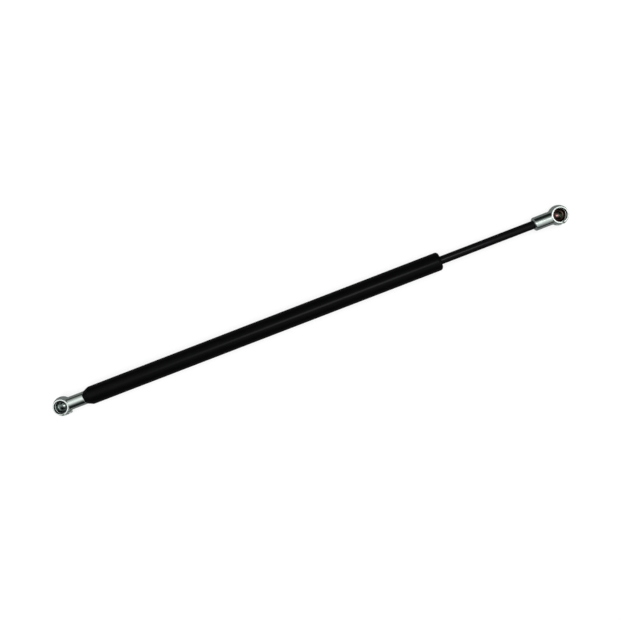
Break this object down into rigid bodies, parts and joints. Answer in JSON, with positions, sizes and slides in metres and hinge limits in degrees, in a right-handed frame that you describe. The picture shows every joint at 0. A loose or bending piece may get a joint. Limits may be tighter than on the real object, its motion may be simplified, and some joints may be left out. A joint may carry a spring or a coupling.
{
  "type": "gas strut stay",
  "caption": "Straight gas strut: a black cylinder tube, a thinner black rod that slides in against gas pressure, and plated steel ball sockets facing the same way.",
  "frame": {"origin": "centre of the ball seat at the tube end", "axes": "+X along the strut from the tube end to the rod end, +Z out of the mouths of both ball sockets, -Y on the side of the snap rings' slots"},
  "size_m": [0.5272, 0.0192, 0.0181],
  "materials": {
    "black_paint": "satin black paint",
    "black_nitride": "smooth black nitrided steel",
    "zinc_plate": "bright zinc plate with a faint green-blue tint",
    "spring_steel": "drawn spring wire and strip, bright",
    "bare_steel": "turned steel",
    "seal_rubber": "black nitrile rubber",
    "guide_alloy": "turned light alloy",
    "bush_bronze": "bronze with a plastic lining",
    "ring_plastic": "filled sliding plastic"
  },
  "bodies": {
    "cylinder": {"cylinder_tube": "black_paint", "end_plug": "bare_steel", "end_plug_o_ring": "seal_rubber", "rod_guide": "guide_alloy", "guide_bush": "bush_bronze", "rod_seal": "seal_rubber", "seal_backing_washer": "bare_steel", "seal_retaining_ring": "spring_steel", "socket_tube_end": "zinc_plate", "snap_ring_tube_end": "spring_steel"},
    "sliding_ring": {"piston_ring": "ring_plastic"},
    "rod": {"piston_rod": "black_nitride", "piston_body": "guide_alloy", "piston_front_washer": "bare_steel", "flow_disc": "spring_steel", "piston_rear_washer": "bare_steel", "socket_rod_end": "zinc_plate", "snap_ring_rod_end": "spring_steel"}
  },
  "joints": [
    {"name": "rod_slide", "type": "slide", "parent": "cylinder", "child": "sliding_ring", "axis": [-1, 0, 0], "range_m": [0, 0.092], "stiffness_N_per_m": 90, "springref_m": -1.11},
    {"name": "rod_turn", "type": "hinge", "parent": "sliding_ring", "child": "rod", "pos_m": [0.369, 0, 0], "axis": [1, 0, 0], "continuous": true}
  ]
}
